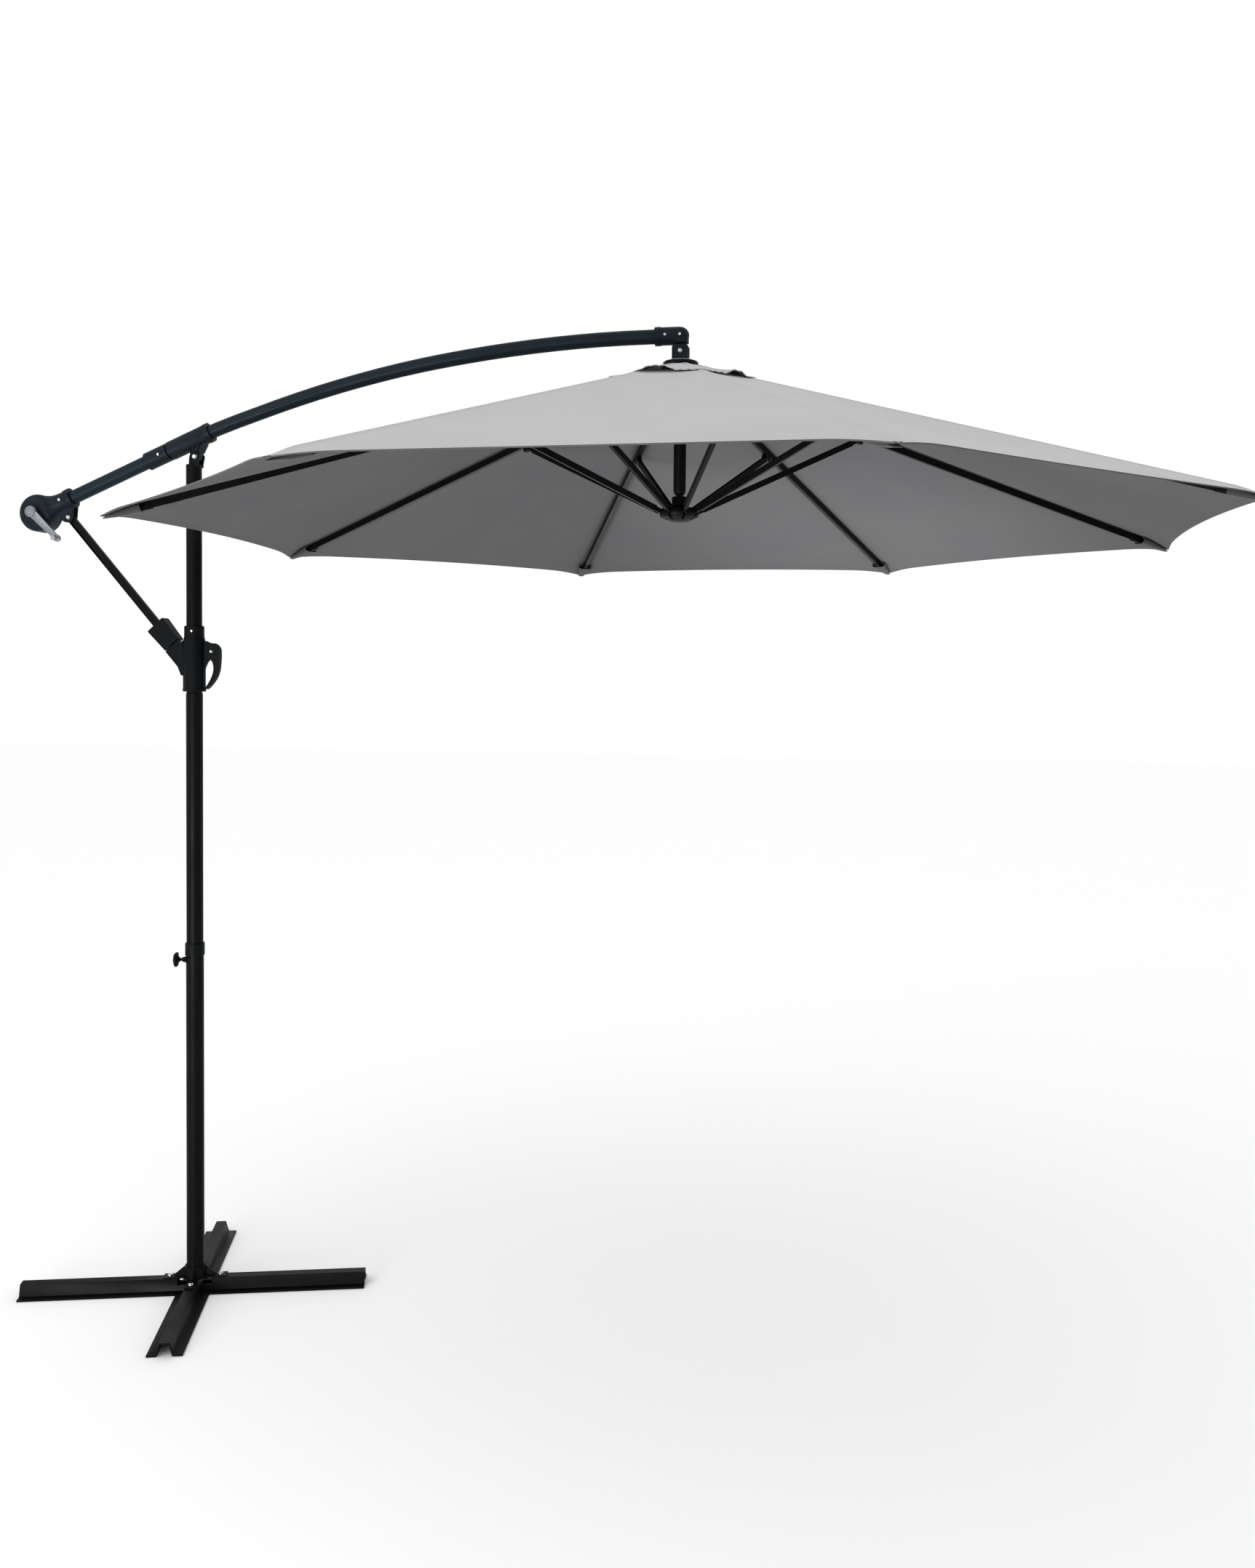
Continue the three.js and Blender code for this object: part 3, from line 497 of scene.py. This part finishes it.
def pocket(k):
    """The cloth cup sewn to the corner, which holds the rib's end."""
    rings = []
    for s, w, h0, h1 in ((RIB_LEN - 92, 23, -11.8, 7.6), (RIB_LEN - 70, 20, -11.3, 7.2), (RIB_LEN - 48, 16.5, -10.3, 4.6), (RIB_LEN - 20, 12, -6.2, 0.0), (RIB_LEN - 5, 9, -4.6, -2.2), (RIB_LEN - 1, 6, -4.0, -2.8)):
        cz, hh = (h0 + h1) / 2, (h1 - h0) / 2
        rings.append([along_rib(k, s, cz + q, p) for p, q in superellipse(w, hh, 3.2, 28)])
    inner = []
    for s, w, h0, h1 in ((RIB_LEN - 50, 15.6, -9.6, 4.0), (RIB_LEN - 92, 22, -10.8, 6.8)):
        cz, hh = (h0 + h1) / 2, (h1 - h0) / 2
        inner.append([along_rib(k, s, cz + q, p) for p, q in superellipse(w, hh, 3.2, 28)])
    n = 28
    rings = rings[::-1]
    allr = rings + [inner[1], inner[0]]
    v, f = skin(allr, cap=True)
    o = obj_from(f"corner_pocket_{k}", v, f, "pocket", f"rib_{k}_arm")
    uv_box(o)
    return o


def uv_box(o, s=1.0):
    me = o.data
    uvl = me.uv_layers.new(name="UVMap")
    for p in me.polygons:
        n = p.normal
        ax = max(range(3), key=lambda i: abs(n[i]))
        i, j = [(1, 2), (0, 2), (0, 1)][ax]
        for li in p.loop_indices:
            co = me.vertices[me.loops[li].vertex_index].co
            uvl.data[li].uv = (co[i] * s, co[j] * s)


def tip_plug(k):
    """The black plug at the rib's end, seen inside the pocket's mouth and past it."""
    rings = []
    for s, w, h in ((RIB_LEN - 122, 6.2, 9.2), (RIB_LEN - 120.6, 7.0, 10), (RIB_LEN - 100, 7.0, 10), (RIB_LEN - 56, 6.8, 9.4), (RIB_LEN - 54, 6.0, 8.6)):
        rings.append([along_rib(k, s, q, p) for p, q in superellipse(w, h, 6, 32)])
    v, f = skin(rings)
    return obj_from(f"rib_end_{k}", v, f, "black", f"rib_{k}_arm")


for k in range(1, 9):
    o, area = gore(k, radii, columns, 0.8, 6.5)
    p = pocket(k)
    tip_plug(k)
    w_flat, l_flat = 2 * 1444 * math.sin(math.radians(22.5)), 1444 - VENT + 60
    c, carea = gore(k, cap_radii, near_vent, 0.8, 5.2, cap=True)
    if k == 1:
        print("gore area", area, carea)
    if k == 1:
        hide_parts("canopy_fabric")
        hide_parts("vent_cap")

# ---------------------------------------------------------------- turned and lofted pieces
def basis(axis):
    d = Vector(axis).normalized()
    u = d.cross(Vector((0, 0, 1)))
    u = u.normalized() if u.length > 1e-3 else Vector((1, 0, 0))
    return d, u, d.cross(u)


def turned(profile, origin, axis, seg=72, lobes=0, depth=0.0, closed=False):
    """Verts and faces of a profile of (radius, distance along axis) turned about the axis."""
    d, u, w = basis(axis)
    o = Vector(origin)
    rings = []
    for r, t in profile:
        rr = max(r, 0.02)
        ring = []
        for i in range(seg):
            a = 2 * math.pi * i / seg
            q = rr * (1 - depth * (0.5 - 0.5 * math.cos(lobes * a))) if lobes and rr > 10 else rr
            ring.append(tuple(o + d * t + u * (q * math.cos(a)) + w * (q * math.sin(a))))
        rings.append(ring)
    if closed:
        rings.append(rings[0])
        v, f = skin(rings, cap=False)
        n = seg
        last = len(rings) - 1
        f = [tuple(i - last * n if i >= last * n else i for i in face) for face in f]
        return v[: last * n], f
    return skin(rings)


def lofted(sections, e=3.0, n=40):
    """Sections of (centre, axis of width, axis of height, half width, half height) skinned with rounded ends."""
    rings = []
    for c, uw, uh, a, b in sections:
        c, uw, uh = Vector(c), Vector(uw), Vector(uh)
        rings.append([tuple(c + uw * p + uh * q) for p, q in superellipse(a, b, e, n)])
    return skin(rings)


def plate(points, y0, y1, edge=1.2):
    """An outline in x, z between two depths, its rims rounded by a chamfer."""
    cx = sum(p[0] for p in points) / len(points)
    cz = sum(p[1] for p in points) / len(points)
    n = len(points)
    inset = []
    for i in range(n):
        a, b, c = Vector(points[i - 1]), Vector(points[i]), Vector(points[(i + 1) % n])
        t = ((b - a).normalized() + (c - b).normalized()).normalized()
        m = Vector((-t.y, t.x))
        if m.dot(Vector((cx, cz)) - b) < 0:
            m = -m
        inset.append(b + m * edge)
    rings = [
        [(p[0], y0, p[1]) for p in inset],
        [(p[0], y0 + edge, p[1]) for p in points],
        [(p[0], y1 - edge, p[1]) for p in points],
        [(p[0], y1, p[1]) for p in inset],
    ]
    return skin(rings)


def joined(name, parts, material, body, replaces=(), angle=35, width=0):
    verts, faces = [], []
    for v, f in parts:
        off = len(verts)
        verts += v
        faces += [tuple(i + off for i in face) for face in f]
    o = obj_from(name, verts, faces, material, body, replaces, angle)
    if width:
        bevel(o, width)
    return o


def rounded(points, radius, n=5):
    """An outline with its corners rounded off."""
    out = []
    m = len(points)
    for i in range(m):
        a, b, c = Vector(points[i - 1]), Vector(points[i]), Vector(points[(i + 1) % m])
        r = min(radius, (a - b).length * 0.45, (c - b).length * 0.45)
        p, q = b + (a - b).normalized() * r, b + (c - b).normalized() * r
        for j in range(n + 1):
            t = j / n
            out.append(tuple((1 - t) ** 2 * p + 2 * t * (1 - t) * b + t * t * q))
    return out


SLOPE_ARM = 0.4163
ARM_DIR = Vector((1, 0, SLOPE_ARM)).normalized()


def on_arm(x):
    return (x, 0.0, 2412.5 + SLOPE_ARM * x)


def screw(name, at, normal, r, body):
    profile = [(0, 0.5), (r * 0.30, 0.5), (r * 0.36, 1.35), (r * 0.62, 1.5), (r * 0.86, 1.1), (r, 0.2), (r, -1.2), (0, -1.2)]
    v, f = turned(profile, at, normal, 32)
    return joined(name, [(v, f)], "steel", body)


# winder housing: a rounded drum case, a flared neck with a collar, and two cheeks for the tie rod
HX, HZ = -476.0, 2214.3
case = turned([(7.4, -23.6), (7.4, -27.4), (16, -28.6), (30, -29), (39, -28.4), (45.5, -26), (50, -21.5), (52.4, -15.5), (53, -9), (53, 20), (52.5, 26.6), (49.6, 26.6), (49.6, -18), (47, -22), (43, -23.6)], (HX, 0, HZ), (0, 1, 0), 96, closed=True)
neck_prof = [(19.9, -436), (36, -436), (32.5, -430), (29.6, -422), (27.6, -411), (26.8, -400), (26.6, -388.5), (28.4, -387.6), (29, -386.4), (29, -372), (28.2, -370.6), (19.9, -370.4)]
k_arm = 1 / ARM_DIR.x
neck = turned([(r, (x + 436) * k_arm) for r, x in neck_prof], on_arm(-436), ARM_DIR, 72, closed=True)
lug_outline = rounded([(-424, 2240), (-409, 2200), (-397, 2190), (-389, 2186.5), (-376, 2186), (-366.5, 2192), (-364.5, 2206), (-362, 2236), (-378, 2254)], 5)
cheeks = [plate(lug_outline, -13.4, -6.9, 1.6), plate(lug_outline, 6.9, 13.4, 1.6)]
joined("winder_case", [case, neck, *cheeks], "blueblack", "arm", ("winder_housing",))
screw("neck_screw", (-400, -26.6, 2249), (0, -1, 0), 4.4, "arm")

# crank: stepped hub, tapered arm and a short turned grip
CA = math.radians(-43)
cd = Vector((math.cos(CA), 0, math.sin(CA)))
cn = Vector((-math.sin(CA), 0, math.cos(CA)))
hub = turned([(0, 50.2), (8.6, 50.6), (9.6, 49.9), (10.6, 49.9), (11.4, 51.2), (13.6, 51.2), (15.2, 50), (16.2, 47.4), (16.2, 39), (15.4, 37.2), (0, 37)], (HX, 0, HZ), (0, -1, 0), 72)
secs = []
for t in (0.02, 0.04, 0.1, 0.2, 0.35, 0.5, 0.65, 0.8, 0.92, 0.98, 1.0):
    c = Vector((HX, 0, HZ)) + cd * (112 * t)
    w = 12.6 - 4.6 * min(1, t * 1.05)
    shrink = 1.0 if 0.05 < t < 0.97 else 0.86
    secs.append((c + Vector((0, -43.6 - 1.2 * smooth(t), 0)), cn, Vector((0, 1, 0)), w * shrink, (4.6 - 0.6 * t) * shrink))
blade = lofted(secs, 3.4)
rib_s = []
for t in (0.13, 0.16, 0.5, 0.84, 0.88):
    c = Vector((HX, 0, HZ)) + cd * (112 * t)
    rib_s.append((c + Vector((0, -47.6 - 1.2 * smooth(t), 0)), cn, Vector((0, 1, 0)), (3.4 if 0.14 < t < 0.86 else 1.6), (1.4 if 0.14 < t < 0.86 else 0.4)))
blade_rib = lofted(rib_s, 2.4, 24)
end = Vector((HX, 0, HZ)) + cd * 112
boss = turned([(0, 49.4), (7.4, 49.4), (9, 48.6), (9.9, 46.8), (9.9, 41.4), (9, 39.6), (0, 39.2)], end, (0, -1, 0), 56)
joined("crank_lever", [hub, blade, blade_rib, boss], "silver", "crank", ("crank_handle",))
grip = turned([(0, 68.4), (4, 68.3), (6.2, 67.4), (7.2, 65.6), (7.4, 63.4), (7.1, 62.8), (7.1, 62.1), (7.5, 61.5), (7.9, 56), (8.1, 52.6), (7.8, 50.6), (6.8, 49.9), (0, 49.9)], end, (0, -1, 0), 56)
joined("crank_knob", [grip], "silver", "crank", ("crank_grip",))
screw("crank_knob_screw", tuple(end + Vector((0, -68.2, 0))), (0, -1, 0), 2.6, "crank")

# top disc: a dark clamping ring under a pale dome; the dome's pale colour is a painted highlight for the sheen on the
# disc's top
ring = turned([(15.4, 2574.4), (44.6, 2574.4), (46.2, 2575.3), (46.8, 2577), (46.7, 2581.4), (45.6, 2583.4), (42, 2584.6), (15.4, 2584.8)], (CX, 0, 0), (0, 0, 1), 96, closed=True)
joined("top_clamp_ring", [ring], "dark", "canopy_top", ("top_disc",))
dome = turned([(15.4, 2584.5), (42.2, 2584.3), (42.4, 2585.2), (39.5, 2586.2), (31, 2587.6), (22, 2588.3), (15.4, 2588.4)], (CX, 0, 0), (0, 0, 1), 96, closed=True)
joined("top_dome_painted_highlight", [dome], "pale", "canopy_top", ())

# clamp knob: six soft lobes on a screw
KA = YAW + math.pi
kdir = Vector((math.cos(KA), math.sin(KA), 0))
head = turned([(0, 59), (9, 59), (13, 58.6), (15, 57.4), (18.4, 56.4), (20.8, 54.4), (21.9, 51.6), (21.6, 49), (19.8, 47.2), (14, 46), (9.6, 44.6), (6, 42), (4.4, 40), (4, 36), (4, 24.5), (0, 24.5)], (0, 0, 947), kdir, 96, 6, 0.13)
joined("knob_head", [head], "black", "knob", ("clamp_knob",), 40)

# screws that hold the sleeves
screw("coupler_screw", (-98, -22.6, on_arm(-98)[2]), (0, -1, 0), 4.2, "arm")
screw("ring_screw", (5, -26.4, 1877), (0.18, -1, 0), 3.6, "slider_body")
screw("elbow_screw_a", (1338, -23.6, 2653.4), (0, -1, 0), 3.6, "arm")
screw("elbow_screw_b", (1377, -22.4, 2653.4), (0, -1, 0), 3.8, "arm")

# ---------------------------------------------------------------- stage, light, camera
bpy.ops.mesh.primitive_plane_add(size=60, location=(0, 0, -0.0005))
floor = bpy.context.object
floor.name = "floor"
fm, fnt, fb = mat("floor_paint", (236, 236, 237), 0.7)
fnt.links.new(mixrgb(fnt, noise(fnt, coords(fnt), 1.5, 3), lin((254, 254, 254)), lin((253, 253, 253))), fb.inputs["Base Color"])
floor.data.materials.append(fm)

bpy.context.scene.view_settings.view_transform = "Standard"
world = bpy.data.worlds.new("studio")
bpy.context.scene.world = world
world.use_nodes = True
bg = world.node_tree.nodes["Background"]
bg.inputs["Color"].default_value = (1, 1, 1, 1)
bg.inputs["Strength"].default_value = 1.0


def area_light(name, loc, target, size, power, color=(1, 1, 1)):
    d = bpy.data.lights.new(name, "AREA")
    d.shape = "RECTANGLE"
    d.size, d.size_y = size
    d.energy = power
    d.color = color
    o = bpy.data.objects.new(name, d)
    bpy.context.scene.collection.objects.link(o)
    o.location = loc
    o.rotation_euler = (Vector(target) - Vector(loc)).to_track_quat("-Z", "Y").to_euler()
    return o


area_light("key", (-3.4, -4.2, 4.6), (0.1, 0, 1.9), (2.6, 2.6), 60)
area_light("front", (-1.7, -4.9, 0.5), (0.5, 1.0, 2.4), (2.0, 1.0), 150)
spot = bpy.data.lights.new("under_spot", "SPOT")
spot.energy, spot.spot_size, spot.spot_blend, spot.shadow_soft_size = 110, math.radians(50), 1.0, 0.3
spot_o = bpy.data.objects.new("under_spot", spot)
bpy.context.scene.collection.objects.link(spot_o)
spot_o.visible_camera = False
spot_o.location = (0.8, 0.8, 0.15)
spot_o.rotation_euler = (Vector((0.75, 0.9, 2.3)) - Vector((0.8, 0.8, 0.15))).to_track_quat("-Z", "Y").to_euler()

cam_d = bpy.data.cameras.new("camera")
cam = bpy.data.objects.new("camera", cam_d)
bpy.context.scene.collection.objects.link(cam)
yaw, pitch, roll = math.radians(-10.15), math.radians(-1.80), math.radians(0.44)
fwd = Vector((math.sin(yaw) * math.cos(pitch), math.cos(yaw) * math.cos(pitch), math.sin(pitch)))
right0 = Vector((math.cos(yaw), -math.sin(yaw), 0))
up0 = right0.cross(fwd)
right = math.cos(roll) * right0 + math.sin(roll) * up0
upv = -math.sin(roll) * right0 + math.cos(roll) * up0
rot = Matrix((right, upv, -fwd)).transposed()
cam.matrix_world = Matrix.Translation(Vector((0.81045, -3.66320, 1.7395))) @ rot.to_4x4()
cam_d.sensor_width = 36
cam_d.sensor_fit = "AUTO"
cam_d.lens = 1919.04 / 2156 * 36
cam_d.shift_x = -0.00075
cam_d.shift_y = -0.0362
cam_d.clip_start, cam_d.clip_end = 0.05, 200
bpy.context.scene.camera = cam
